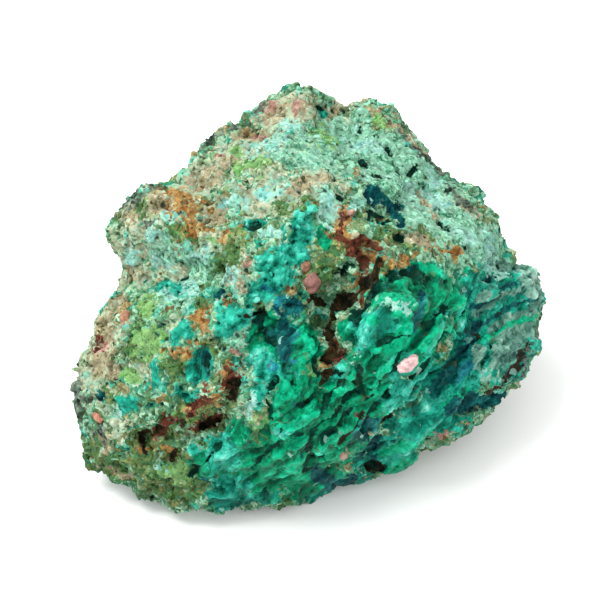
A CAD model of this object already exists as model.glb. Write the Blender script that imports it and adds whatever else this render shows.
# %% [markdown]
# # A hand specimen of chrysocolla
# Chrysocolla is a copper mineral that grows through broken rock. A rough lump of it is a crust of
# crumbs: pale mint sand on the weathered top, waxy emerald seams on the broken front, and navy, rust
# and umber where other minerals take over. This lesson dresses the plain solid of such a lump, which
# gives the form and the size.

# %% Load the solid
import math
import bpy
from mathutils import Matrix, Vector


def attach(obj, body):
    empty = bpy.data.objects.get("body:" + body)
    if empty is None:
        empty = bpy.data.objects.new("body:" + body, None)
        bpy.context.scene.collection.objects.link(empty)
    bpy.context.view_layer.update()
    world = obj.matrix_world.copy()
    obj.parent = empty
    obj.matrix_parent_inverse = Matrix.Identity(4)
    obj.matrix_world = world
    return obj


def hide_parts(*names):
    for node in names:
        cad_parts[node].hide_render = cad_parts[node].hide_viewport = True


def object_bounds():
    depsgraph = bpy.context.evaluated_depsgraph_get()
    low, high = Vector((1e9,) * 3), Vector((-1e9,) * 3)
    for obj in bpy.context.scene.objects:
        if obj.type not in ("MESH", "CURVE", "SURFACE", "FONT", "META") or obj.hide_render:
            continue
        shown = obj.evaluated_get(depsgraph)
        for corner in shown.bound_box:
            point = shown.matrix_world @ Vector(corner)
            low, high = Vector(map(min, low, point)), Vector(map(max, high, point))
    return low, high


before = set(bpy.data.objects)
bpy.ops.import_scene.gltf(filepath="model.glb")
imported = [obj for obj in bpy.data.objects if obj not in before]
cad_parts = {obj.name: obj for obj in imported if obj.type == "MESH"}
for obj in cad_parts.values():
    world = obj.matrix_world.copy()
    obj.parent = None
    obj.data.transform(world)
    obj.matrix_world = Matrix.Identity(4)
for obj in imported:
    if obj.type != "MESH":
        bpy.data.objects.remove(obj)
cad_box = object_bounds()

from types import SimpleNamespace

import bmesh
import bpy
import numpy as np
from mathutils import Matrix, Vector, noise
from mathutils.bvhtree import BVHTree

MM = 0.001
cad_low, cad_high = (np.array(corner) / MM for corner in cad_box)
print("the solid measures", (cad_high - cad_low).round(1), "mm")

# %% [markdown]
# ## The display face
# A collector shows the lump's best side and looks down on it. A seam or a pit on that side is easiest
# to place by how far right and how far up it appears. So this cell sets up the collector's eye, and
# three axes: right, up, and out towards the eye.

# %% The display face's axes and the eye
FACE_LEAN = math.radians(50.0)
FACE_CENTRE = Vector((-2.07, -1.81, 25.0))
EYE_DISTANCE = 562.5

RIGHT = Vector((1.0, 0.0, 0.0))
UP = Vector((0.0, math.sin(FACE_LEAN), math.cos(FACE_LEAN)))
OUT = Vector((0.0, -math.cos(FACE_LEAN), math.sin(FACE_LEAN)))
EYE = FACE_CENTRE + OUT * EYE_DISTANCE
print("the eye is at", [round(c) for c in EYE], "mm")

# %% [markdown]
# ## A fine skin
# The solid's triangles are about 2 mm long, and the crumbs are smaller. A voxel remesh lays an even
# grid of small faces over the solid, which can then be pushed about point by point. Subdivision would
# also add faces, but it keeps the long and short triangles of the solid. The solid's mesh comes as
# loose triangles, so its doubled corners are merged first.

# %% Remesh the solid
SKIN_GRID = 0.53
EASE_ROUNDS = 5


def in_scene(name, data):
    """A new object with that data, in the scene."""
    made = bpy.data.objects.new(name, data)
    bpy.context.scene.collection.objects.link(made)
    return made


def applied(piece, name):
    """The piece with its modifiers turned into plain mesh."""
    graph = bpy.context.evaluated_depsgraph_get()
    mesh = bpy.data.meshes.new_from_object(piece.evaluated_get(graph))
    bpy.data.objects.remove(piece)
    mesh.name = name
    return in_scene(name, mesh)


def mesh_from(bm, name):
    """A mesh from a finished bmesh, which is then let go."""
    mesh = bpy.data.meshes.new(name)
    bm.to_mesh(mesh)
    bm.free()
    return mesh


def fine_skin(solid):
    """A closed, even and slightly eased copy of a solid's surface."""
    bm = bmesh.new()
    bm.from_mesh(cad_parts[solid].data)
    bmesh.ops.remove_doubles(bm, verts=bm.verts, dist=1e-6)
    piece = in_scene("skin", mesh_from(bm, "skin"))
    grid = piece.modifiers.new("grid", "REMESH")
    grid.mode = "VOXEL"
    grid.voxel_size = SKIN_GRID * MM
    ease = piece.modifiers.new("ease", "SMOOTH")
    ease.iterations = EASE_ROUNDS
    return applied(piece, "stone_skin")


skin = fine_skin("stone")
print("the skin has", len(skin.data.polygons), "faces")

# %% [markdown]
# ## Finding places on the skin
# To type each place's three coordinates would be guesswork, so a place on the display side is found by
# shooting a ray from the eye. The far side has no eye of its own, so it borrows one: the same ray, shot
# from behind. The points are kept in millimetres, which suit the lump's sizes.

# %% Rays from the eye
def vectors_of(items, field):
    """One vector of each item, such as each point's place, as an array."""
    flat = np.empty(len(items) * 3, np.float32)
    items.foreach_get(field, flat)
    return flat.reshape(-1, 3).astype(float)


def mesh_points(mesh):
    """The mesh's points, in millimetres."""
    return vectors_of(mesh.vertices, "co") / MM


points = mesh_points(skin.data)
normals = vectors_of(skin.data.vertex_normals, "vector")
shell = BVHTree.FromPolygons([Vector(p) for p in points], [tuple(f.vertices) for f in skin.data.polygons])


def spot(right, up, side=1):
    """The skin's point that appears at right, up of the display face. Side -1 is the far side's."""
    eye = FACE_CENTRE + OUT * EYE_DISTANCE * side
    goal = FACE_CENTRE + RIGHT * right + UP * up
    hit = shell.ray_cast(eye, (goal - eye).normalized())[0]
    if hit is None:
        hit = shell.find_nearest(goal)[0]
    return np.array(hit)


print("the middle of the face is", spot(0, 0).round(1), "mm")

# %% [markdown]
# ## Ragged fields
# A mineral's patch and a crevice are both a soft field: 1 in the middle, a half at the rim, nothing
# further out. A hard mask would be simpler, but a field also says how near the rim a point is, and that
# later decides how two minerals mix there. Real borders are ragged, so the points that the fields see
# are first shaken by noise. The noise starts from the clock unless it gets a seed, and with one every
# run gives the same lump. A vein swells and pinches on its way. It is measured mostly flat, across the
# display face, so that it runs over bumps.

# %% Patches and veins as fields
NOISE_SEED = 4
PATCH_SHAKES = [(7.0, 2.0), (2.6, 1.2)]
VEIN_SHAKES = [(7.0, 1.0), (1.8, 0.45)]
PATCH_DEPTH = 1.2
LEAST_DEPTH = 1.5
FLAT = np.array([RIGHT, UP, OUT * 0.3]).T
SWELL = 0.8
SWELL_LENGTH = 2.2


def shaken(places, shakes):
    """The places, each moved a little by noise of those sizes and reaches."""
    moved = places.copy()
    for size, reach in shakes:
        moved += reach * np.array([noise.noise_vector(Vector(p) / size) for p in places])
    return moved


noise.seed_set(NOISE_SEED)
for_patches = shaken(points, PATCH_SHAKES)
for_veins = shaken(points, VEIN_SHAKES) @ FLAT
swells = np.array([1.0 + SWELL * noise.noise(Vector(p) / SWELL_LENGTH) for p in points])


def patch_field(middle, long, short, turn):
    """An oval field in the display face's plane, long along its turn, and a little deeper than it."""
    away = for_patches - middle
    angle = math.radians(turn)
    right, up, out = (away @ np.array(axis) for axis in (RIGHT, UP, OUT))
    along = (right * math.cos(angle) + up * math.sin(angle)) / long
    across = (up * math.cos(angle) - right * math.sin(angle)) / short
    depth = out / (max(long, short) * PATCH_DEPTH + LEAST_DEPTH)
    return 1.0 / (1.0 + (along**2 + across**2 + depth**2) ** 2)


def path_gap(places, path):
    """Each place's distance to the nearest stretch of a path."""
    nearest = np.full(len(places), np.inf)
    for start, end in zip(path, path[1:]):
        way = end - start
        share = np.clip((places - start) @ way / (way @ way), 0.0, 1.0)
        gap = np.linalg.norm(places - (start + share[:, None] * way), axis=1)
        nearest = np.minimum(nearest, gap)
    return nearest


def vein_field(path, half_width):
    """A field along a path, which swells and pinches."""
    line = [place @ FLAT for place in path]
    return 1.0 / (1.0 + (path_gap(for_veins, line) / (half_width * swells)) ** 4)


print("the veins swell to", swells.max().round(2), "and pinch to", swells.min().round(2), "of their width")

# %% [markdown]
# ## Where each mineral lies
# Each list below is one mineral's ovals and veins on the display face. An oval is how far right and up
# of the middle it lies, its half length and half width, and its anticlockwise turn, where it has one.
# A vein is a list: the places of its path, then its half width. The far side gets the same lists
# mirrored, found from behind, and each side's ovals and veins stay on it. Maps painted by hand would
# also do, but a list is quick to change.

# %% The ovals of the weathered top and the left
minerals = {}
minerals["mint"] = [
    (19, 25, 15, 9, -35), (9, 32, 10, 6, -20), (30, 13, 9, 7, -40), (0, 28, 9, 6), (22, 16, 7, 5, -30),
    (36, 9, 5, 4, -40), (-27, 11, 5, 4), (-22, 7.5, 6, 3.6), (-12.4, 5, 4, 3.4), (6, 18, 4, 2.4),
    (-12, -7, 3, 2), (-30, -12, 3.6, 2.6), (33.4, 8.4, 5, 3, -40), (-24, 0.6, 5, 3),
    (38, -10, 3.4, 2.4, 40),
]
minerals["sage"] = [
    (-12, 28, 7, 5, 30), (-6, 30, 5, 3.4), (-24, 4.6, 3, 2), (-30, -12.6, 3.4, 2.4), (-24, -6, 2.4, 2),
    (-18, 23.4, 5, 3, 30), (6.5, 35, 3.4, 2.4), (-36, -7.4, 4, 4.4), (-25, 16.4, 4, 3), (-2, 36.6, 6, 3),
    (-22, 19, 6, 3.6), (-31, 16, 4, 5), (-33, 9, 4, 4), (-30, 5.2, 3.6, 2.6), (-6, 24, 4, 2),
    (-17, 12, 4, 3), (-34, 3, 4, 4), (-37, -5, 3, 5), (-12, 6, 3, 3), (-39, -14, 3, 6),
    (-34.6, -24, 3, 2.6), (4, 22, 5, 2.4), (-6, 20, 7, 4), (-4, 34, 5, 3), (32, 17, 5, 0.9, -48),
]
minerals["pale"] = [
    (-6, 29.4, 3.8, 2.4, 10), (-24.6, 15.6, 1.8, 1.4), (25, 22.4, 2, 1.4, -45), (36, 5.4, 2.6, 1.6, -20),
    (35.4, 10.4, 2.6, 1.6, -45), (-1.5, 33, 2.4, 1.6), (-5.6, 21.2, 3.2, 1.5, 10), (5.6, 17.8, 3, 2.2, 30),
    (-6.6, 12.4, 2, 1.6), (-13, 4.6, 2, 1.4), (12, 29, 3.4, 2, -20), (12, 18.6, 2.2, 1.4, -30),
    (20, 20.6, 3, 1.6, -40), (26, 18.5, 2.6, 1.4, -30), (31, 12, 3, 1.6, -50), (-13, 18.6, 4, 1.8),
    (-29, 12.2, 1.8, 1.4), (-25.6, 7.4, 2.4, 1.4), (-18.6, 8.6, 2, 1.4), (-31.6, 8.4, 1.4, 2),
    (-20, 3.2, 2.2, 1.2), (-24.4, 0.8, 2.2, 1.2), (-26.8, -30.8, 1.1, 1), (-10.6, -19.6, 1.3, 1.8, -20),
    (10.2, -10, 1.3, 0.6, 25), (18.2, -1, 1.8, 0.9, -10), (-35, -21, 1.2, 0.9),
]
minerals["lime"] = [
    (5.2, 31.5, 2.3, 4.2, -10), (15.4, 34, 2.6, 0.9, -40), (-9, 25, 3.4, 1.3), (-12, 28, 2, 1.2),
    (-31.7, -14.2, 1.7, 1.5), (-28.5, -1.4, 2.4, 2, 60), (-28.6, -8, 3.4, 3, 60), (-16.9, 11.2, 2, 0.9),
    (-6.8, -23.4, 2.4, 2.4), (2.8, -12.4, 1.6, 1.8), (0.7, -17.8, 1.2, 1), (15.4, -1.4, 1.2, 0.8),
    (16.6, 1.6, 3.2, 1.8, 40), (18.4, -1.6, 2, 1.2), (28.6, -25, 1.4, 0.9, 30), (-24, -31.6, 2.6, 1.6),
    (-22.6, -33.4, 2.2, 1.2),
]
minerals["olive"] = [
    (-8, 24.8, 4.6, 1.2), (-14, 8, 3.6, 3), (-31, -9, 3, 2.4, 30), (-23.6, -13, 3, 2.6),
    (-19, -36.8, 5, 2), (0.4, 17.6, 1.6, 2.4), (-28, -27, 4, 3, -20), (-35, -31.4, 4.4, 3.4, -20),
    (-30, 17.4, 3, 2, 30), (17.8, 4.8, 4.6, 2.4), (6.2, 11, 3.6, 3.4), (19, 11.4, 3, 1.8, -20),
    (-24.6, -24.8, 3, 2.4), (-24, -31, 3.4, 2.4), (-12, 11.4, 3.2, 3), (-36, -31, 5, 4, -20),
    (-37, -18, 2.4, 2), (-3.4, 17.6, 3, 1.4), (22.8, 12.6, 3, 1.4, -20), (-25, -32.5, 9, 5, -15),
    (-19, -22, 5, 3, 10), (-17, -10, 2.4, 3), (-6, -26, 4, 4), (3, 6.4, 3.6, 5.6, -20), (-22, 13, 3, 1.8),
    (-3, 10, 1.6, 3.4),
]
minerals["tan"] = [
    (-32.6, 4.4, 3.4, 2.4, 20), (11.4, 11.9, 1.5, 1.1), (-10.9, 2.3, 1.3, 1), (-37.4, -11, 2.4, 3.4),
    (32, 18, 3, 0.9, -48), (13.6, 35.2, 2.8, 1.4, -30), (21, 30.4, 7, 0.8, -45), (-34.8, -0.6, 3.4, 3),
    (-36, -6.6, 3.2, 3.4), (-35, -13.4, 2.2, 1.8), (-36.6, -27, 2, 1.8), (-8, -22.6, 1.6, 1.2),
    (0.6, 21.6, 4, 1.6), (-16, 15.4, 3, 2.4), (-25, 18, 4, 3), (24, 17.6, 2.6, 1, -45),
    (-33, 15.6, 1.8, 1.6), (22, 11.4, 4, 1.2), (16.4, -21.6, 2.4, 0.6, 40), (-34.6, -32.2, 3.4, 0.9, -18),
    (-5.2, 34.6, 3.2, 1.8, 20), (1.6, 36.6, 2, 1.6), (-9.4, 30.4, 3.2, 1.4, 10), (-14, 25.4, 3.4, 1.2, 20),
    (-18.4, 23.6, 3.4, 1.6, 20), (5.4, 35, 2, 1.4, -30), (8.4, 16.6, 2, 1.4),
]
print(len(minerals), "minerals on the weathered top and the left")

# %% The ovals and veins of the broken front
minerals["turquoise"] = [
    (-0.6, 13.6, 3, 4, -10), (-1.8, 9.6, 2.7, 3.4), (-4.2, 5.8, 3, 3), (-6.8, 1.8, 4, 2.4, 35),
    (-12.6, -3.8, 4.2, 2.8, 10), (22.6, -13, 3, 1.4, 45), (-22.6, -6.9, 2.4, 1.6), (-24, 2, 4, 1.6),
    (-27.9, -14.2, 1.2, 3), (-32.6, -19.6, 2.6, 2), (-20.6, -17.8, 1.9, 1.6), (-14.5, -28.6, 3.4, 4.2),
    (-19.6, -28, 1.6, 1.6), (23.8, -19, 2.6, 1.6, 40), (-13, -34, 3, 2.4), (-8.6, -17.6, 1.6, 2),
    (-6.4, -13.4, 2.6, 3.2), (21.5, 28.5, 2, 1, -35), (-1, 32.4, 1.2, 1.8), (4.5, 35, 1.2, 1.8),
    (13.8, -4.4, 4.4, 2.2, -10), (12, -8, 3, 2.4, 30), (24.6, -8, 2, 3.4, -35), (17.8, -13.2, 3, 2, 40),
    (-2.6, -24.4, 2, 1.2, 30), (29.6, -19.4, 3, 1.8, 30), (18.8, -30.6, 4.4, 2.4, 15),
    (26, -3.8, 0.9, 2.4, -15), (7.3, -12.8, 1.1, 2, 5), (19.6, -17.4, 4.2, 2.6, 40),
    (18.6, -28.6, 3.6, 2.6, 15), (31.4, -15.8, 2.6, 1, 20), (27.6, -17.6, 0.8, 1.7, -15),
    (9.4, -33.8, 2, 1.8),
]
minerals["emerald"] = [
    (5.6, -24.4, 12, 8, 35), (11.2, -18.8, 9, 7, 40), (20, 0.4, 9, 4.6, -10), (26.2, 2, 6, 4, -20),
    (17, -8, 9, 7, 30), (1, -18.4, 6, 6), (-1.9, -28, 7, 6), (24.4, -8, 4, 7, -35), (1.9, -33.8, 7, 4),
    (-5.6, -33, 6, 5), (1, -8, 3.4, 5), (5.2, 13.1, 1.3, 2.2), (-11, -30, 5, 6), (9.8, -4.8, 2.4, 2.2, 30),
    (-6, -7, 2.6, 4), (0, -31, 7, 4), (-12, -25, 3, 2.6), (-17.6, -31, 3.4, 2.6),
]
minerals["teal"] = [
    (34, 0.6, 8, 5.4, 20), (39, 2.6, 6, 4, -30), (40, -4, 6, 4, 30), (33, -9, 7, 5, 50),
    (28, -16, 8, 6, 45), (24, -23, 8, 5, 30), (16, -29, 8, 4, 20), (-11.6, -31.4, 2.6, 2.2),
    (5.6, -35.6, 7, 3, 10), (-11.2, -37.4, 7, 1.8), (-2.8, -12, 3, 5), (-0.4, -6.6, 3, 3),
    (29, -23.4, 4, 2.4, 20), (40, -9, 6, 8, -25), (44, 1, 5, 6), (-18.6, -12.6, 2.2, 2.8),
    (-9, 14.4, 1.6, 1.8),
]
minerals["ledge"] = [
    (39.4, -9, 3.6, 5.2, -25), (45.4, 2.2, 2.2, 3.4), (38.6, 0.9, 1.1, 0.8),
    [(33.4, -9.2), (32.9, -12.9), (34.8, -15.5), 0.9], [(33.6, 0.4), (35.6, 2), 0.5],
    [(40.6, 5.6), (43, 3.6), (45, -1.4), 1.1], [(33, -2.4), (37, 0.8), (42, 2.2), 0.7],
    [(36, -5.4), (40, -3.2), (44, -2.4), 0.7], [(35.6, 7.2), (40, 6.4), (43.4, 5), 1.3],
    (42.4, 3.6, 2.6, 1.4, -30), (42.2, -5.4, 2.4, 2.2),
    [(36.2, -12.6), (37, -9.4), (39.6, -6.6), (43, -5.6), 0.9],
]
minerals["bright"] = [
    [(2.6, -28.6), (5.2, -27), (7.5, -25.3), (8.6, -23.9), 0.85],
    [(8, -22.7), (9.4, -20.9), (10.8, -19.5), 0.55],
    [(-3.6, -23.2), (-0.5, -23.6), (0.9, -22.5), (3.3, -20.4), 0.8],
    [(-4.2, -21.2), (-3.9, -18.4), (-3.2, -15.6), 1], [(-1.8, -28), (0.2, -26), 1.1],
    [(9.4, -14.4), (12, -12), (14.6, -9.6), 0.9], [(13.6, -17.4), (15.2, -14.2), (18.4, -11), 0.7],
    [(7.2, -18.6), (8, -17), (8.6, -15.8), 0.4], [(-2.6, -32.2), (0.2, -30), 0.8],
    [(12.4, -3.4), (14.6, -3.8), 0.8], [(1, -7.4), (1.9, -9.2), 0.9], [(16, 0.2), (20, -1), 1.4],
    [(19.8, 5.8), (24, 6.2), (27, 4.4), 0.9], [(28.4, -5.6), (30.4, -3), 0.9],
    [(22.4, -12.2), (25, -9.4), (27.6, -5.8), 0.7],
    [(33.8, -7.4), (37.5, -5.9), (41.5, -4), (43.9, -3.6), 0.6],
    [(31.2, 5.6), (35.6, 5.2), (38.8, 3.4), 0.6], [(15.4, -28.8), (19.8, -26.8), (23.6, -25.2), 0.9],
    [(16.2, -31.4), (18.6, -30.4), (21.2, -29.4), 1.2], [(22.6, -9), (24.4, -6.4), (26.2, -4.2), 0.8],
    [(27.4, -19.6), (30.6, -17.4), 0.9],
]
minerals["azure"] = [
    (-1.7, -10.2, 0.9, 0.6, 20), (-5.4, -12.6, 0.6, 1.4, -10), (-3.2, -8.4, 0.8, 1.8),
    (30.4, -13.2, 1.5, 1.9, -40), (-6.4, 1.8, 1.2, 1.2), (-4.4, -1.2, 1, 2.2, -20),
]
minerals["navy"] = [
    (-3.4, -6.2, 1.7, 4.2, -5), (-1, -1.4, 2.8, 1.8, 20), (-16, 1, 1.3, 1.2), (-38.3, -17.8, 1.8, 1),
    (-17.1, -33.8, 1, 1), (-17.6, -11.8, 1, 1.4), (13.6, -27.4, 2.4, 3.4, -30), (13.8, -31, 1.6, 1.4),
    (22.2, -2.6, 1.1, 3.2, -12), [(13.4, 20.4), (15.6, 18.4), (18, 16.4), 1.3], (19.2, 15.4, 1, 1.2),
    (12.6, -24.8, 3, 1.8, 40), [(33, -4.6), (31.8, -8.2), (29, -11.8), (26.8, -15), (24.9, -17.6), 1.1],
    [(28.6, -19.8), (31.6, -19.6), (37.2, -18.6), 1.6],
    [(31.8, -1.4), (34.8, -0.3), (37.5, 2.2), (40.4, 3.2), 0.45],
    [(33.8, -4.4), (37.5, -2.6), (41.5, -0.8), (44, 0), 0.45], [(31.4, 1), (34.8, 3.6), (37, 4.3), 0.45],
    [(3.4, -32.6), (5.6, -35.4), (8.6, -34.2), 1.7], [(17.2, 4.8), (21.4, 5.2), 0.8],
]
print(len(minerals), "minerals with those of the broken front")

# %% The stains, crevices and pits
minerals["pink"] = [
    (-5.2, 36, 1.2, 1.5), (-0.2, 37.2, 1.1, 1.7), (-8.6, 30.6, 1.6, 0.9, 10), (-15.5, 27, 1.2, 0.8),
    (-9.6, 6.8, 0.9, 0.8), (-36.7, -8.4, 1.2, 0.8), (26.4, -26.6, 0.8, 0.7), (7.4, -29.2, 1.2, 0.5, 20),
    (-10.8, -9.8, 1.2, 1.1), (10.5, 16.8, 1.3, 0.8), (-33, -3.2, 1.4, 1.5),
]
minerals["maroon"] = [
    (-18, -18, 1.1, 2.4), (-12.2, -14.4, 2.2, 1.5, 40), (-37.2, -8.4, 1.6, 0.9), (6.4, -9.6, 0.8, 2.4),
    (10.9, -22.7, 0.6, 1.2, -10), [(-27.6, -25), (-25.4, -22.8), (-22.6, -22.8), 1],
    [(-19, -23.4), (-17.2, -23.4), (-15.4, -21.6), 1.1],
    [(8.4, 16.4), (8, 13.8), (7.4, 12.6), (9.4, 10.6), (12.2, 11.2), (14.4, 10.2), 0.75],
    [(9, 9.4), (12.4, 6.6), (12.6, 4.2), (11.4, 0.4), 1], [(-20.6, -21.8), (-19.2, -19.4), 1],
]
minerals["rust"] = [
    (-23.4, 20.4, 4.4, 1.5, -5), (-21.4, 17.6, 3.4, 2.6), (-19.2, 14, 2.6, 2), (-13.9, 12.4, 1.3, 1.7),
    [(8.8, 15.8), (7.6, 13.2), (9.2, 9.8), (12.6, 7.8), 1.3], (13.4, 10.8, 1.6, 1.2, 30),
    (18.4, 7.6, 3.2, 1.4, 5), (25.6, 9.4, 2.2, 0.8, -10), (10.8, 3.4, 1.6, 0.9, 40),
    (-18.7, -4.3, 1.2, 2.6), (-23.3, -10.2, 2.4, 1.5), (-16.4, -18.4, 1.6, 1.8), (-20.4, -21.4, 1.2, 0.9),
    (-25, -28.6, 2.2, 1.1, -25), (-28.6, -27.4, 1, 1.4), (31.6, -23.4, 1.5, 0.9), (28.6, 8.6, 1.8, 1, -30),
    (0.8, 6.2, 0.8, 0.7), (4.2, -13.4, 0.5, 1.2, -15), (-12.4, -14.6, 1.2, 1.8),
]
minerals["umber"] = [
    [(15, 7.2), (13.4, 4.6), (10.6, 1.4), (5.8, -2), 0.7],
    [(5.9, -2.2), (5, -5.4), (5.9, -8.6), (5, -11.4), 0.6], [(5.3, -13.4), (4.6, -16), 0.6],
    [(-28.8, -28.4), (-28.8, -26.2), (-26.8, -23.8), 0.5],
    [(-18.8, -24.2), (-16.6, -23.4), (-14.6, -21.4), 0.5], [(-13, -18.6), (-12, -15.6), 0.6],
    [(-24.4, -30.2), (-23.4, -28.6), 0.35], [(-10.6, -3.2), (-8.8, -3.4), (-7.2, -2.6), 0.35],
    [(5.8, -2), (2.4, 0.2), (3.4, 3.4), 0.5],
    [(43, -7.8), (41.2, -11.8), (39.1, -14.9), (37.2, -17), (35, -17.8), 0.5],
    [(12, -21.4), (10.2, -24.8), (8.7, -26.2), (6.6, -28), 0.35], [(15.2, -22.8), (17.2, -20.8), 0.5],
    [(12.4, -31.6), (14.6, -31.4), 0.8], [(-31, 21.4), (-33.4, 17.8), 0.5], (32.7, -5.8, 0.9, 0.9),
]
minerals["groove"] = [
    [(13.8, 4), (12.6, 0.4), (10.4, -2.8), 1.1],
    [(10.5, -15), (10.5, -17.3), (8.4, -19.9), (6.6, -21.8), (3.8, -23.7), (1.9, -26), (1.6, -28.6), 0.45],
    [(-5.2, -15), (-6.3, -17.3), (-5.9, -19.9), (-4.9, -21.8), 0.4],
    [(8.2, -15.6), (6, -18), (4.6, -20.4), 0.5],
    [(9.6, -20.6), (7.4, -23.6), (4.6, -26), (3.6, -29.4), 0.4],
    [(16.6, -17.2), (13.8, -20.6), (12.2, -24.4), 0.5], [(3, -11), (4, -14), (7.4, -13.2), 0.6],
    [(17, 4.2), (21.6, 4.6), (24, 3.4), 0.6], [(3.8, -16.9), (1.9, -18.5), (0.7, -19.7), 0.5],
    [(10.6, -12.4), (11.2, -16.4), (12.4, -18.4), 0.45], [(-3.8, -25), (-1.6, -25.4), (0.7, -24.8), 0.28],
    [(1.8, -28.6), (1.3, -32.8), 0.4], [(12.6, -18.6), (17.6, -13.2), (19, -9), 0.4],
    [(20.8, -14.3), (27, -6.9), (30.4, -2.6), 0.5], [(24, -4.9), (27, -1.9), 0.5],
    [(16.4, 5.6), (22.4, 4.4), 0.5], [(35.9, -8), (34.8, -11.5), (34, -13.7), 0.25],
    [(-9, -31.4), (-4.6, -27.6), (-3, -24), 0.35], [(-4.6, -8.6), (-7.2, -5.4), (-7.6, -3.6), 0.6],
    [(-7.4, -36), (-1.4, -33), 0.35], [(-20.6, -33), (-17, -30), (-15.4, -27), 0.4],
    [(14.6, -8.8), (18.6, -6.6), (20.6, -6.4), 0.4],
]
minerals["pit"] = [
    (9, 36, 1.3, 0.6), (4, 36.4, 1, 0.6), (11.5, 33.2, 0.8, 0.6), (16.7, 27.9, 0.8, 0.6),
    (13, 25.5, 1.3, 0.9, -20), (14.8, 24, 0.9, 0.6), (21.4, 23.7, 1.4, 1), (18, 24.4, 0.7, 0.5),
    (7.9, 19.5, 0.7, 0.5), (14.2, 15.4, 1.4, 0.8), (16.4, 13.8, 0.8, 0.8), (18.8, 11.5, 0.9, 0.8),
    (27, 14.9, 1.7, 0.6, 6), (21.2, 28.4, 1, 0.5, -40), (27.8, 21.2, 1.2, 0.6, -45), (30.9, 9.6, 0.7, 0.5),
    (37, 7.1, 0.7, 0.5), (28.9, 23.6, 0.8, 0.5), (-9.4, 14.3, 1, 0.9), (-21.6, 4.9, 1.2, 0.6, 20),
    (8.2, 4.2, 1.5, 0.7, 30), (-8.8, -3.4, 1, 0.6, 35), (-17.6, -12.4, 0.5, 0.7), (20.2, 5, 1.6, 0.5),
    (24.5, -28.1, 1.4, 0.6, 10), (13.2, -31.8, 1.4, 0.8, 20), (-1, -15.4, 0.8, 0.8),
]
minerals["slate"] = [
    (-12.8, 32.4, 4, 0.9, 18), (-17.6, 29.2, 2.8, 0.8, 50), (-7.4, 35.4, 2.6, 0.8, 50),
    (42.2, -11.6, 0.8, 4, -25), (-41.5, -19, 1.2, 4), (-38, -24.6, 1, 3, 20), (23.6, 27, 6, 1, -46),
    (30.2, 19.6, 5, 0.9, -52), (-29.6, 20.6, 2.2, 0.8, 40), (-28.8, 14.4, 1.6, 1),
    (-32, 18.4, 2.4, 1.6, 50),
]
print(len(minerals), "minerals, stains and cuts in all")

# %% Paint the fields on the skin
TURNING = 0.3
facing = normals @ np.array(OUT)


def field_of(spots):
    """The strongest of the ovals' and veins' fields at each point, on both sides of the lump."""
    field = np.zeros(len(points))
    for side in (1, -1):
        seen = np.clip(max(side, 0) + side * facing / TURNING, 0.0, 1.0)
        for shape in spots:
            if isinstance(shape, list):
                *path, half_width = shape
                line = [spot(side * right, up, side) for right, up in path]
                field = np.maximum(field, seen * vein_field(line, half_width))
            else:
                right, up, long, short, turn = (*shape, 0)[:5]
                middle = spot(side * right, up, side)
                field = np.maximum(field, seen * patch_field(middle, long, short, side * turn))
    return field


fields = {name: field_of(spots) for name, spots in minerals.items()}


def store(mesh, name, values):
    """Keeps one number for each point of the mesh, under a name that materials can read."""
    layer = mesh.attributes.new(name, "FLOAT", "POINT")
    layer.data.foreach_set("value", np.asarray(values, np.float32))


for name, field in fields.items():
    store(skin.data, name, field)
    print(f"{name:10} covers {100 * (field > 0.5).mean():4.1f} % of the skin")

# %% [markdown]
# ## Cutting the crevices and pits
# The broad valleys are in the solid already. What is added here is sharper: the bottom of each crevice,
# the steep-sided pits, and the swollen buds, bands and pink spots. A Boolean could cut the pits, but a
# field times a height also gives them sloping, ragged walls.

# %% Heights that follow the fields
UMBER_DEPTH = 0.6
PIT_DEPTH = 1.0
NAVY_DEPTH = 0.35
GROOVE_DEPTH = 0.9
PEBBLE_HEIGHT = 0.5
BUD_SWELL = 0.35
BAND_SWELL = 0.6


def move_points(mesh, places):
    """Moves the mesh's points to places that are given in millimetres."""
    mesh.vertices.foreach_set("co", (places * MM).astype(np.float32).ravel())
    mesh.update()


relief = -UMBER_DEPTH * fields["umber"] - PIT_DEPTH * fields["pit"] - NAVY_DEPTH * fields["navy"]
relief -= GROOVE_DEPTH * fields["groove"]
relief += PEBBLE_HEIGHT * fields["pink"] ** 2 + BUD_SWELL * fields["turquoise"]
relief += BAND_SWELL * fields["bright"]
move_points(skin.data, points + normals * relief[:, None])
print("the cuts reach", round(float(relief.min()), 2), "mm deep")

# %% [markdown]
# ## Node helpers
# A long sum of nodes is hard to read as calls, so what a node gives is wrapped in a small class that
# can be added, taken away and multiplied, and each sum adds its own node. The helpers work for Geometry
# Nodes and for materials alike, so one pattern can shape the surface and colour the same grains.

# %% Adding and linking nodes
class Value:
    """What a node gives. It can be added, taken away and multiplied."""

    def __init__(self, socket):
        self.socket = socket
        self.tree = socket.id_data

    def __add__(self, other):
        return maths("ADD", self, other)

    def __sub__(self, other):
        return maths("SUBTRACT", self, other)

    def __rsub__(self, other):
        return maths("SUBTRACT", other, self)

    def __mul__(self, other):
        return maths("MULTIPLY", self, other)


def feed(socket, value):
    """Links a socket to what another node gives, or sets it to a plain value."""
    if isinstance(value, Value):
        value.tree.links.new(value.socket, socket)
    else:
        socket.default_value = value


def node(tree, kind, inputs=None, **settings):
    """A new node with its settings and its inputs."""
    made = tree.nodes.new(kind)
    for name, setting in settings.items():
        setattr(made, name, setting)
    for name, value in (inputs or {}).items():
        feed(made.inputs[name], value)
    return made


def result(tree, kind, inputs=None, output=0, **settings):
    """What a new node gives at one of its outputs."""
    return Value(node(tree, kind, inputs, **settings).outputs[output])


def maths(operation, *values):
    """The result of one sum, on plain numbers and on what nodes give."""
    tree = next(value.tree for value in values if isinstance(value, Value))
    return result(tree, "ShaderNodeMath", dict(enumerate(values)), operation=operation)


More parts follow.
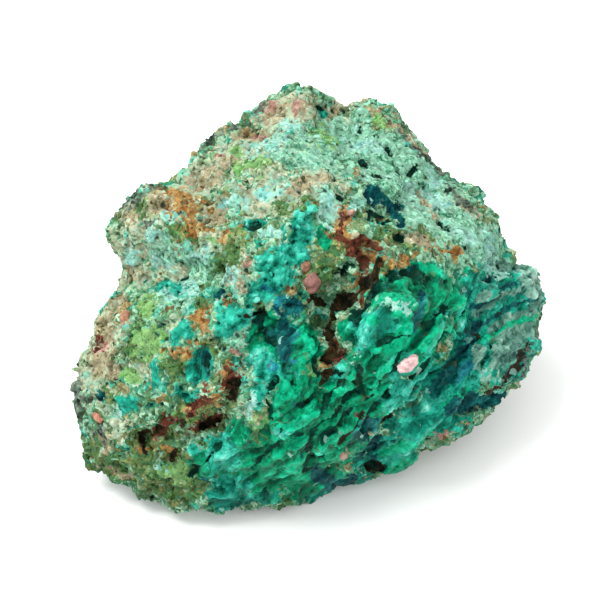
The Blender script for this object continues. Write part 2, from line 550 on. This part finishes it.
def vector_maths(operation, first, second, output=0):
    """The result of one sum on vectors. Only SCALE takes a number as its second."""
    inputs = {0: first, "Scale" if operation == "SCALE" else 1: second}
    return result(first.tree, "ShaderNodeVectorMath", inputs, output, operation=operation)


def ranged(value, low, high, to_low=0.0, to_high=1.0):
    """The value, with low to high stretched to the new range and cut off beyond it."""
    inputs = {"Value": value, "From Min": low, "From Max": high, "To Min": to_low, "To Max": to_high}
    return result(value.tree, "ShaderNodeMapRange", inputs, "Result")


# %% [markdown]
# ## The patterns of the ore
# Broken ore is made of chips, the chips are made of crumbs, and grit fills the rest. Each is the cells
# of a Voronoi texture at its own size, with the borders bent by noise so that no cell looks cut with a
# knife. The green seams are long rounded loaves that lie side by side and rise to the right. Each
# function takes a place, in metres, and builds its pattern in that place's tree.

# %% Chips, crumbs, grit and loaves
CHIP = 2.5
CRUMB = 1.0
GRIT = 0.5
LOAF = (10.0, 2.4, 3.0)
STREAK = (8.0, 1.3, 2.4)
FINE_STREAK = (2.6, 0.4, 0.8)
LOAF_TURN = math.radians(46.0)
TOP_TURN = math.radians(-43.0)
HALF = (0.5, 0.5, 0.5)
RAGGED = (1.6, 0.35)
SWIRLS = [(11.0, 2.8), (2.2, 0.25)]


def bent(place, size, reach):
    """The place, moved up to about reach millimetres by noise of that size."""
    inputs = {"Vector": place, "Scale": 1.0 / (size * MM), "Detail": 1.0}
    shift = vector_maths("SUBTRACT", result(place.tree, "ShaderNodeTexNoise", inputs, 1), HALF)
    return vector_maths("ADD", place, vector_maths("SCALE", shift, 4.0 * reach * MM))


def swirled(place):
    """The place, bent as the seams are: widely, then finely."""
    for size, reach in SWIRLS:
        place = bent(place, size, reach)
    return place


def cells(place, size, feature="F1"):
    """What a Voronoi texture gives, with cells about size millimetres wide."""
    inputs = {"Vector": place, "Scale": 1.0 / (size * MM), "Randomness": 1.0}
    made = node(place.tree, "ShaderNodeTexVoronoi", inputs, feature=feature)
    return {output.name: Value(output) for output in made.outputs}


def cloud(place, size):
    """A noise texture whose blobs are about size millimetres wide, from 0 to 1."""
    inputs = {"Vector": place, "Scale": 1.0 / (size * MM), "Detail": 3.0}
    return result(place.tree, "ShaderNodeTexNoise", inputs)


def along_seams(place, sizes, angle):
    """The place, turned to an angle of the display face and measured in cells of those sizes."""
    along = RIGHT * math.cos(angle) + UP * math.sin(angle)
    across = UP * math.cos(angle) - RIGHT * math.sin(angle)
    turn = {"Vector": place, "Rotation": Matrix((along, across, OUT)).to_euler()}
    turned = result(place.tree, "ShaderNodeVectorRotate", turn, rotation_type="EULER_XYZ")
    return vector_maths("MULTIPLY", turned, [1.0 / (size * MM) for size in sizes])


def loaves(place):
    """How far each place is from the middle of its loaf."""
    place = along_seams(place, LOAF, LOAF_TURN)
    inputs = {"Vector": place, "Scale": 1.0, "Randomness": 0.9, "Smoothness": 0.3}
    return result(place.tree, "ShaderNodeTexVoronoi", inputs, "Distance", feature="SMOOTH_F1")


def streaks(place, sizes, angle=LOAF_TURN):
    """A noise in streaks along an angle, from 0 to 1."""
    inputs = {"Vector": along_seams(place, sizes, angle), "Scale": 1.0, "Detail": 2.0}
    return result(place.tree, "ShaderNodeTexNoise", inputs)


# %% [markdown]
# ## Weathering the skin
# Bump in a material would be quicker, but broken ore has real facets and an uneven outline. So Geometry
# Nodes push each point of the skin along its normal. Each chip sits higher or lower than its neighbours
# and leans its own way, crumbs bulge on it, pocks are small round holes, and cracks open between the
# biggest blocks. The green seams were never crumbled, so there the loaves and their streaks take over.
# The tree also stores the place before the push and the relief, so that colours sit on the same
# crumbs, hollows can be dark, and crests light.

# %% Facets, crumbs and pocks
CHIPS_IN_BLOCK = 2.3
CRACK_WIDTH = 0.08
POCK_SPACING = 2.0
POCK_EDGE = (0.13, 0.24)
WITHOUT_POCK = (0.25, 0.3)


def channels(colour):
    """A colour's or vector's three channels."""
    return [Value(socket) for socket in node(colour.tree, "ShaderNodeSeparateXYZ", {0: colour}).outputs]


def crumbled_height(place, given):
    """The relief of the crumbly ore, in millimetres."""
    ragged = bent(place, *RAGGED)
    chip = cells(ragged, CHIP)
    step = channels(chip["Color"])[0] - 0.5
    lean = vector_maths("SUBTRACT", chip["Color"], HALF)
    from_middle = vector_maths("SUBTRACT", ragged, chip["Position"])
    facet = vector_maths("DOT_PRODUCT", from_middle, lean, 1) * (1.0 / MM)
    dome = 0.4 - cells(ragged, CRUMB)["Distance"]
    edge = cells(ragged, CHIP * CHIPS_IN_BLOCK, "DISTANCE_TO_EDGE")["Distance"]
    crack = ranged(edge, 0.0, CRACK_WIDTH, 1.0, 0.0) * given["Crack Depth"]
    height = step * given["Chip Height"] + facet * given["Facet Lean"] + dome * given["Crumb Height"]
    return height - crack


def pocks(place):
    """Scattered small round holes: 1 inside, 0 outside."""
    holes = cells(bent(place, 1.2, 0.25), POCK_SPACING)
    some = ranged(channels(holes["Color"])[1], *WITHOUT_POCK)
    return ranged(holes["Distance"], *POCK_EDGE, 1.0, 0.0) * some


# %% The weathering tree
WEATHER = {
    "Terrain Height": 1.1,
    "Chip Height": 0.42,
    "Facet Lean": 0.5,
    "Crumb Height": 0.46,
    "Grit Height": 0.3,
    "Loaf Height": 1.2,
    "Crack Depth": 0.55,
    "Pock Depth": 0.7,
}
TERRAIN = 5.0
LOAF_MIDDLE = 0.42
STREAK_SHARE = 1.9


def attribute(tree, name):
    """The stored number of that name, in a geometry tree."""
    return result(tree, "GeometryNodeInputNamedAttribute", {"Name": name}, data_type="FLOAT")


def new_geometry_tree(name, sizes):
    """An empty geometry tree with one named input for each size, and what its inputs give."""
    tree = bpy.data.node_groups.new(name, "GeometryNodeTree")
    tree.interface.new_socket("Geometry", in_out="INPUT", socket_type="NodeSocketGeometry")
    for size_name, value in sizes.items():
        socket = tree.interface.new_socket(size_name, in_out="INPUT", socket_type="NodeSocketFloat")
        socket.default_value = value
    tree.interface.new_socket("Geometry", in_out="OUTPUT", socket_type="NodeSocketGeometry")
    return tree, {socket.name: Value(socket) for socket in tree.nodes.new("NodeGroupInput").outputs}


def ended_in(geometry):
    """The geometry's tree, ended in that geometry."""
    feed(geometry.tree.nodes.new("NodeGroupOutput").inputs["Geometry"], geometry)
    return geometry.tree


def with_stored(geometry, name, value, kind):
    """The geometry, with one more value stored on each point."""
    inputs = {"Geometry": geometry, "Name": name, "Value": value}
    return result(geometry.tree, "GeometryNodeStoreNamedAttribute", inputs, data_type=kind, domain="POINT")


def weathering_tree():
    """Pushes a skin's points by its relief, and stores the place and the relief for the material."""
    tree, given = new_geometry_tree("weathering", WEATHER)
    place = result(tree, "GeometryNodeInputPosition")
    seamed = ranged(attribute(tree, "emerald"), 0.35, 0.6)
    seamed = maths("MAXIMUM", seamed, ranged(attribute(tree, "teal"), 0.35, 0.6))
    crumbled = (1.0 - seamed * 0.85) * ranged(attribute(tree, "mint"), 0.3, 0.7, 1.0, 0.55)

    terrain = (cloud(place, TERRAIN) - 0.5) * given["Terrain Height"]
    grit = (cloud(place, GRIT * 2) - 0.5) * given["Grit Height"] * (1.0 - seamed * 0.6)
    swirl = swirled(place)
    loaf = LOAF_MIDDLE - loaves(swirl)
    loaf = loaf + (streaks(swirl, STREAK) - 0.5) * STREAK_SHARE
    loaf = loaf * given["Loaf Height"] * seamed
    crumb = crumbled_height(place, given) * crumbled
    crumb = crumb - pocks(place) * crumbled * given["Pock Depth"]
    relief = crumb + loaf + grit

    kept = with_stored(given["Geometry"], "place", place, "FLOAT_VECTOR")
    kept = with_stored(kept, "relief", relief, "FLOAT")
    push = vector_maths("SCALE", result(tree, "GeometryNodeInputNormal"), (relief + terrain) * MM)
    return ended_in(result(tree, "GeometryNodeSetPosition", {"Geometry": kept, "Offset": push}))


def run_tree(piece, tree, sizes, name):
    """The piece after the tree, as plain mesh. Each size is set by its socket's identifier."""
    modifier = piece.modifiers.new(tree.name, "NODES")
    modifier.node_group = tree
    for item in tree.interface.items_tree:
        if item.item_type == "SOCKET" and item.in_out == "INPUT" and item.name in sizes:
            modifier[item.identifier] = sizes[item.name]
    return applied(piece, name)


skin = run_tree(skin, weathering_tree(), WEATHER, "stone_skin")
heights = np.empty(len(skin.data.vertices), np.float32)
skin.data.attributes["relief"].data.foreach_get("value", heights)
print("most of the relief runs from and to", np.percentile(heights, (5, 95)).round(2), "mm")

# %% [markdown]
# ## Keeping to the size
# The crumbs make the lump a little bigger than its solid. Scaling it down would move every seam, so
# only what passes the solid's box is pressed back to it. That also keeps the foot flat on the table.

# %% Press the points into the box
def pressed_into_box(piece):
    """Moves every point that is outside the solid's box back onto it."""
    move_points(piece.data, np.clip(mesh_points(piece.data), cad_low, cad_high))


pressed_into_box(skin)
print("the skin measures", np.ptp(mesh_points(skin.data), axis=0).round(1), "mm")

# %% [markdown]
# ## Loose grains
# Hard little grains still cling to weathered ore. They are too many to place by hand, so Geometry
# Nodes scatter points over the skin and put a small lump of 20 faces on each. The points carry the
# skin's fields with them, so each grain is made of the mineral it lies on.

# %% Scatter the grains
GRAINS = {"Spacing": 1.0, "Density": 0.55, "Least Size": 0.2, "Most Size": 0.42, "Roughness": 0.2}
GRAIN_WIDTHS = [(0.75, 1.35), (0.75, 1.35), (0.6, 1.0)]
DENT_SIZE = 0.5
LOWEST_GRAIN = (1.2 * MM, 1.6 * MM)


def random_number(tree, low, high, seed):
    """A different number for each element, between low and high."""
    made = node(tree, "FunctionNodeRandomValue", {"Seed": seed}, data_type="FLOAT")
    for name, value in (("Min", low), ("Max", high)):
        feed(next(s for s in made.inputs if s.name == name and s.type == "VALUE"), value)
    return Value(next(s for s in made.outputs if s.type == "VALUE" and s.enabled))


def grains_tree():
    """Scatters lumpy little grains over a skin, mostly where it is crumbled and clear of the foot."""
    tree, given = new_geometry_tree("grains", GRAINS)
    crumbly = ranged(attribute(tree, "emerald"), 0.3, 0.6, 1.0, 0.12)
    height = channels(result(tree, "GeometryNodeInputPosition"))[2]
    spread = {
        "Mesh": given["Geometry"],
        "Distance Min": given["Spacing"] * MM,
        "Density Max": given["Density"] * (1.0 / MM**2),
        "Density Factor": crumbly * ranged(height, *LOWEST_GRAIN),
        "Seed": 4,
    }
    scattered = node(tree, "GeometryNodeDistributePointsOnFaces", spread, distribute_method="POISSON")
    size = random_number(tree, given["Least Size"], given["Most Size"], 11)
    wide = [size * random_number(tree, *limits, 12 + i) for i, limits in enumerate(GRAIN_WIDTHS)]
    placed = {
        "Points": Value(scattered.outputs["Points"]),
        "Instance": result(tree, "GeometryNodeMeshIcoSphere", {"Radius": MM, "Subdivisions": 1}),
        "Rotation": Value(scattered.outputs["Rotation"]),
        "Scale": result(tree, "ShaderNodeCombineXYZ", dict(enumerate(wide))),
    }
    grains = result(tree, "GeometryNodeInstanceOnPoints", placed)
    spin = result(tree, "ShaderNodeCombineXYZ", {2: random_number(tree, 0, 6.28, 15)})
    turned = result(tree, "GeometryNodeRotateInstances", {"Instances": grains, "Rotation": spin})
    real = result(tree, "GeometryNodeRealizeInstances", {"Geometry": turned})
    place = result(tree, "GeometryNodeInputPosition")
    rough = {"Vector": place, "Scale": 1.0 / (DENT_SIZE * MM), "Detail": 0.0}
    dent = vector_maths("SUBTRACT", result(tree, "ShaderNodeTexNoise", rough, 1), HALF)
    dent = vector_maths("SCALE", dent, given["Roughness"] * (3 * MM))
    dented = result(tree, "GeometryNodeSetPosition", {"Geometry": real, "Offset": dent})
    return ended_in(result(tree, "GeometryNodeSetMaterial", {"Geometry": dented, "Material": ore}))


# %% [markdown]
# ## The minerals' colours
# One flat colour would look like paint, so each mineral is a short run of shades, from its dark grains
# to its light ones. Crumbly minerals pick a shade for each crumb, and seamed minerals pick it along the
# seams. The codes are the usual two-digit red, green and blue that colour pickers show.

# %% Shades of each mineral
SHADES = {
    "rock": "1a301c 68704a 689e70 368a68 90c49a bce2c0 5cb894 a8a07a",
    "mint": "3a7c60 66ae8a 8acca6 a4dec4 80bc96 b2e4cc 8ad6ba",
    "sage": "5e7a58 98b48a bcd0ac b6b490 ccdcc2 90cca8 c6c4a4",
    "olive": "20381a 42642e 668c4a 407c52 7c7a48 90b06c 2e5238",
    "tan": "4e4c34 8a8862 b2a884 a89c7c c8c4a4 84a082",
    "lime": "509850 76b062 98c47c 6aa860 b0d096",
    "teal": "031e18 0a5042 0e7c66 18a88c 40ceb2 88e8d4",
    "emerald": "022c1e 024c32 026c4a 028e60 02aa78 0cbc8a 30cea0",
    "ledge": "0e4c42 3e7a6c 70a490 98c6b2 c0e4d4",
    "turquoise": "085442 107e66 20a286 38c0a4 64d8c0 98ead8",
    "bright": "027c58 02a272 0cbe8a 28d2a4 64e6c4",
    "azure": "0c4e5a 187484 309ea6 60c6c4",
    "navy": "02141a 042c34 0a464c 126462 268680 50aca0",
    "slate": "262c26 465046 667464 849882 34402e",
    "pale": "7ccab2 98dac2 b4e6d2 96d8cc 7ccabc",
    "rust": "5a3a1a 885a2e a87c42 b69056 c2a670 8c884e",
    "maroon": "2c1612 4c261a 70382a 86503a 54402a",
    "pink": "7a5a4c a8806c c89e90 d8b2a4",
    "groove": "021812 04382a 065640",
    "umber": "100c08 20180e 342614 4e341c 222a18",
    "pit": "041810 0a2c20 144434",
}
SEAMED = ["teal", "emerald", "ledge", "turquoise", "bright", "azure", "navy"]
LINES = ["groove", "umber", "pit"]


def linear(code):
    """A picked colour as the linear red, green, blue and alpha that nodes take."""
    parts = [int(code[i : i + 2], 16) / 255.0 for i in (0, 2, 4)]
    return [c / 12.92 if c <= 0.04045 else ((c + 0.055) / 1.055) ** 2.4 for c in parts] + [1.0]


def shade_ramp(name, value):
    """A colour ramp through one mineral's shades."""
    ramp = node(value.tree, "ShaderNodeValToRGB", {"Fac": value})
    shades = SHADES[name].split()
    stops = ramp.color_ramp.elements
    for i, code in enumerate(shades):
        position = i / (len(shades) - 1)
        stop = stops[i] if i < 2 else stops.new(position)
        stop.position = position
        stop.color = linear(code)
    return Value(ramp.outputs["Color"])


print(len(SHADES), "minerals with", sum(len(shades.split()) for shades in SHADES.values()), "shades")

# %% [markdown]
# ## The ore's grain in the material
# The material reads the stored place, so it finds the same chips and crumbs that the weathering raised.
# Each of them has random numbers of its own. Mixed together they give the hue, which picks a shade of a
# crumbly mineral. In the seams a wave does that: light on the crests, with fine threads along them.

# %% Read the chips, crumbs and grit
CHIP_COLOURS = 0.8
CREST = (-0.75, 0.55)
SEAM_EDGE = (0.35, 0.65)


def field_value(tree, name):
    """The stored field of that name, in a material."""
    return result(tree, "ShaderNodeAttribute", output="Fac", attribute_name=name)


def grain_of(tree):
    """A point's place, the random numbers of its chip, crumb and grit, and what follows from them."""
    grain = SimpleNamespace(tree=tree)
    grain.place = result(tree, "ShaderNodeAttribute", output="Vector", attribute_name="place")
    ragged = bent(grain.place, *RAGGED)
    grain.chip = channels(cells(ragged, CHIP * CHIP_COLOURS)["Color"])
    grain.crumb = channels(cells(ragged, CRUMB)["Color"])
    grit_cells = cells(bent(grain.place, 0.7, 0.15), GRIT)
    grain.from_grit = grit_cells["Distance"]
    grain.grit = channels(grit_cells["Color"])
    grain.crest = ranged(field_value(tree, "relief"), *CREST)
    seamed = maths("MAXIMUM", field_value(tree, "emerald"), field_value(tree, "teal"))
    grain.seamed = ranged(seamed, *SEAM_EDGE)
    hue = grain.chip[0] * 0.42 + grain.crumb[0] * 0.33 + grain.grit[0] * 0.25
    grain.hue = ranged(hue, 0.12, 0.88)
    grain.thread = streaks(swirled(grain.place), FINE_STREAK)
    wave = grain.crest * 0.55 + ranged(grain.thread, 0.3, 0.7) * 0.25
    grain.wave = wave + grain.crumb[0] * 0.2
    return grain


# %% [markdown]
# ## Laying the minerals
# The colour starts as plain rock, with a few chips of other minerals sprinkled in, and each mineral is
# then laid on it. One mask with a soft edge would look airbrushed. So each border is decided crumb by
# crumb: the crumb's own random number is added to the field, and the crumb changes only if the sum
# passes a half. Crumbly minerals let the random number count for most and mix like salt and pepper,
# seams keep nearer to their shape, and crevices nearer still. Flecks lie in the seams last of all.

# %% Lay one mineral after another
SPRINKLED = [("turquoise", 0.84, 1.2), ("rust", 0.74, 0.81), ("olive", -0.2, 0.16)]
SPRINKLED_SHARE = 0.8
FLECKS = [("pale", 0.988, 1.2), ("lime", 0.965, 0.976), ("navy", -0.2, 0.035), ("olive", 0.05, 0.07)]
FLECK_SHARE = 0.6
MIXES = {"crumbly": (1.05, 0.88), "seamed": (0.65, 1.0), "line": (0.6, 0.95)}
BORDER_EDGE = 0.09
FAINTEST = (0.03, 0.08)


def blended(share, first, second):
    """Two colours, mixed."""
    mix = node(share.tree, "ShaderNodeMix", data_type="RGBA")
    for socket, value in zip([s for s in mix.inputs if s.enabled], (share, first, second)):
        feed(socket, value)
    return Value(next(s for s in mix.outputs if s.enabled))


def chosen(random, low, high, edge):
    """1 where the random number lies between low and high, and 0 elsewhere."""
    return ranged(random, low, low + edge) - ranged(random, high - edge, high)


def mineral_share(grain, name, own):
    """How much each point is of that mineral. Own is the point's own random number for it."""
    kind = "seamed" if name in SEAMED else "line" if name in LINES else "crumbly"
    spread, most = MIXES[kind]
    field = field_value(grain.tree, name)
    passed = field * most + (own - 0.5) * spread
    return ranged(passed, 0.5 - BORDER_EDGE, 0.5 + BORDER_EDGE) * ranged(field, *FAINTEST)


def laid_minerals(grain):
    """The ore's colour, before any light and shade."""
    colour = shade_ramp("rock", grain.hue)
    for name, low, high in SPRINKLED:
        share = chosen(grain.chip[2], low, high, 0.02) * SPRINKLED_SHARE
        colour = blended(share, colour, shade_ramp(name, grain.hue))
    for i, name in enumerate(list(SHADES)[1:]):
        shade = shade_ramp(name, grain.wave if name in SEAMED else grain.hue)
        own = maths("FRACT", grain.crumb[1] + 0.37 * i) * 0.6 + grain.grit[1] * 0.4
        colour = blended(mineral_share(grain, name, own), colour, shade)
    for name, low, high in FLECKS:
        share = chosen(grain.crumb[2], low, high, 0.01) * grain.seamed * FLECK_SHARE
        colour = blended(share, colour, shade_ramp(name, grain.hue))
    pock = pocks(grain.place) * (0.85 - grain.seamed * 0.6)
    return blended(pock, colour, shade_ramp("pit", grain.hue))


# %% [markdown]
# ## Light and gloss in the ore
# Dirt lies in the hollows and clean mineral on the crests, so the relief makes a point darker or
# lighter. Each crumb and speck of grit differs a little too, the mint top has fine streaks down its
# slope, and the foot is damp and dark. Gloss is weak and greenish. The seams are waxy and the crumbs
# dull, which is roughness. Bump adds only the grit and threads that are too fine for the mesh.

# %% Light, gloss and bump
UNDER_LAMPS = 0.78
DAMP_HEIGHT = (2.0 * MM, 20.0 * MM)
DULL, WAXY = 0.85, 0.4
GLOSS = 0.11
GLOSS_TINT = (0.35, 1.0, 0.8, 1.0)


def light_on(grain):
    """How light or dark each point is."""
    hollow = ranged(grain.seamed, 0.0, 1.0, 0.68, 0.73)
    lit = ranged(grain.crest, 0.0, 1.0, hollow, 1.03)
    for value, low, high, dark, light in (
        (grain.crumb[2], 0.0, 1.0, 0.8, 1.14),
        (grain.grit[0], 0.0, 1.0, 0.9, 1.08),
        (cloud(grain.place, 0.8), 0.3, 0.7, 0.86, 1.12),
        (grain.grit[1], 0.07, 0.12, 0.62, 1.0),
    ):
        lit = lit * ranged(value, low, high, dark, light)
    slope = streaks(bent(grain.place, 4.0, 0.8), FINE_STREAK, TOP_TURN)
    slope = ranged(slope, 0.36, 0.64, 0.68, 1.12) - 1.0
    lit = lit * (slope * ranged(field_value(grain.tree, "mint"), 0.3, 0.6) + 1.0)
    damp = ranged(channels(grain.place)[2], *DAMP_HEIGHT, 0.3, 0.0)
    damp = damp * ranged(grain.seamed, 0.0, 1.0, 0.65, 1.0)
    return lit * (UNDER_LAMPS - damp)


def new_material(name):
    """A new material and its shader."""
    material = bpy.data.materials.new(name)
    material.use_nodes = True
    return material, material.node_tree.nodes["Principled BSDF"]


def ore_material():
    """The whole lump's finish."""
    material, shader = new_material("crumbled copper ore")
    grain = grain_of(material.node_tree)
    feed(shader.inputs["Base Color"], vector_maths("SCALE", laid_minerals(grain), light_on(grain)))
    feed(shader.inputs["Roughness"], ranged(grain.seamed, 0.0, 1.0, DULL, WAXY) - grain.grit[2] * 0.1)
    shader.inputs["Specular IOR Level"].default_value = GLOSS
    shader.inputs["Specular Tint"].default_value = GLOSS_TINT
    height = (0.5 - grain.from_grit) * (1.0 - grain.seamed) + grain.thread * grain.seamed * 1.2
    bump = {"Height": height, "Strength": 0.4, "Distance": 0.2 * MM}
    feed(shader.inputs["Normal"], result(grain.tree, "ShaderNodeBump", bump))
    return material


ore = ore_material()
print("the ore material has", len(ore.node_tree.nodes), "nodes")

# %% [markdown]
# ## Dressing the skin
# The skin gets the ore. The grains' tree leaves nothing of the mesh that it starts from, so the grains
# are grown on a copy of the skin.

# %% Dress the skin and grow the grains
skin.data.materials.clear()
skin.data.materials.append(ore)
skin.data.shade_smooth()
grains = run_tree(in_scene("bed", skin.data.copy()), grains_tree(), GRAINS, "clinging_grains")
pressed_into_box(grains)
print("the grains have", len(grains.data.polygons), "faces")

# %% [markdown]
# ## Pebbles
# A few rounded pebbles of pink quartz are stuck in the front. A bulge of the skin would look crumbled,
# so each one is a ball of its own. It is squeezed to its three half sizes, dented by noise, turned to
# lie on the skin, and sunk halfway in.

# %% Pebbles and their material
PEBBLES = [
    (2.2, 3.2, 1.9, 1.6, 100, "94665c"),
    (1.0, 6.2, 1.1, 0.9, 60, "a07258"),
    (20.3, -12.0, 2.0, 1.2, 38, "e0b8b6"),
    (-38.0, -21.9, 1.3, 0.8, 155, "c08468"),
    (-32.8, -3.2, 1.3, 1.1, 30, "b07c5c"),
]
PEBBLE_THICKNESS = 0.8
BROAD_DENT = 0.3
FINE_DENT = 0.14


def quartz(name, code):
    """Cloudy quartz of that colour, lighter and darker in its cloud."""
    material, shader = new_material(name)
    place = result(material.node_tree, "ShaderNodeTexCoord", output="Object")
    cloudy = ranged(cloud(place, 0.9), 0.35, 0.65, 0.4, 0.95)
    tint = {0: linear(code)[:3], "Scale": cloudy}
    tinted = result(material.node_tree, "ShaderNodeVectorMath", tint, operation="SCALE")
    feed(shader.inputs["Base Color"], tinted)
    shader.inputs["Roughness"].default_value = 0.55
    shader.inputs["Specular IOR Level"].default_value = 0.3
    return material


def pebble(name, right, up, long, short, turn, code):
    """A dented pebble, sunk in the skin where it appears at right, up."""
    middle = spot(right, up)
    outward = np.array(shell.find_nearest(Vector(middle))[1])
    angle = math.radians(turn)
    along = np.array(RIGHT * math.cos(angle) + UP * math.sin(angle))
    along -= outward * (along @ outward)
    along /= np.linalg.norm(along)
    axes = np.array([along * long, np.cross(outward, along) * short, outward * short * PEBBLE_THICKNESS])
    bm = bmesh.new()
    bmesh.ops.create_icosphere(bm, subdivisions=4, radius=1.0)
    for point in bm.verts:
        broad = noise.noise(point.co * 1.5 + Vector(middle))
        dent = 1.0 + BROAD_DENT * broad + FINE_DENT * noise.noise(point.co * 4.0)
        point.co = Vector((np.array(point.co * dent) @ axes + middle) * MM)
    mesh = mesh_from(bm, name)
    mesh.materials.append(quartz(name, code))
    mesh.shade_smooth()
    return in_scene(name, mesh)


pebbles = [pebble(f"pebble_{i}", *shape) for i, shape in enumerate(PEBBLES)]
print(len(pebbles), "pebbles")

# %% [markdown]
# ## One lump again
# The lump is one thing, however many meshes dress it. So every piece stands for the solid, rides on the
# lump's one body, and takes its finish from the record's one slot.

# %% Tie the pieces to the solid
pieces = [skin, grains] + pebbles
for piece in pieces:
    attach(piece, "root")
    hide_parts("stone")
print(len(pieces), "pieces stand for the solid")

# %% [markdown]
# ## The table, the light and the camera
# The lump lies on a white table in a white tent. One soft lamp stands behind it on the left, high up, so
# the top is bright, the front is in gentle shade, and a soft shadow falls to the lower right.

# %% Table
TABLE_HALF = 1.5


def table():
    """A wide, plain white table top."""
    mesh = bpy.data.meshes.new("table")
    corners = [(x * TABLE_HALF, y * TABLE_HALF, 0) for x, y in ((-1, -1), (1, -1), (1, 1), (-1, 1))]
    mesh.from_pydata(corners, [], [(0, 1, 2, 3)])
    white, shader = new_material("white table")
    shader.inputs["Base Color"].default_value = (0.9, 0.9, 0.9, 1.0)
    shader.inputs["Roughness"].default_value = 0.9
    shader.inputs["Specular IOR Level"].default_value = 0.1
    mesh.materials.append(white)
    return in_scene("table", mesh)


table()
print("the table is", 2 * TABLE_HALF, "m wide")

# %% Light and camera
LAMP_PLACE = Vector((-0.28, 0.06, 0.60))
LAMP_AIM = Vector((0.0, 0.0, 0.03))
LAMP_SIZE = 0.36
LAMP_POWER = 4.0
TENT_LIGHT = 1.34
LENS = 180.0
SENSOR = 36.0


def aimed(thing, direction):
    """Turns a lamp or camera to look along a direction."""
    thing.rotation_mode = "QUATERNION"
    thing.rotation_quaternion = direction.to_track_quat("-Z", "Y")


def studio():
    """The tent's even light and the one soft lamp."""
    world = bpy.data.worlds.new("white tent")
    world.use_nodes = True
    tent = world.node_tree.nodes["Background"]
    tent.inputs["Color"].default_value = (1.0, 1.0, 1.0, 1.0)
    tent.inputs["Strength"].default_value = TENT_LIGHT
    bpy.context.scene.world = world
    light = bpy.data.lights.new("lamp", "AREA")
    light.energy = LAMP_POWER
    light.size = LAMP_SIZE
    lamp = in_scene("lamp", light)
    lamp.location = LAMP_PLACE
    aimed(lamp, LAMP_AIM - LAMP_PLACE)


def camera():
    """The camera at the collector's eye."""
    lens = bpy.data.cameras.new("camera")
    lens.lens = LENS
    lens.sensor_width = SENSOR
    lens.clip_start = 0.01
    eye = in_scene("camera", lens)
    eye.location = EYE * MM
    aimed(eye, -OUT)
    bpy.context.scene.camera = eye


studio()
camera()
bpy.context.scene.view_settings.view_transform = "Standard"
print("the lamp is", round(LAMP_PLACE.length, 2), "m from the lump")
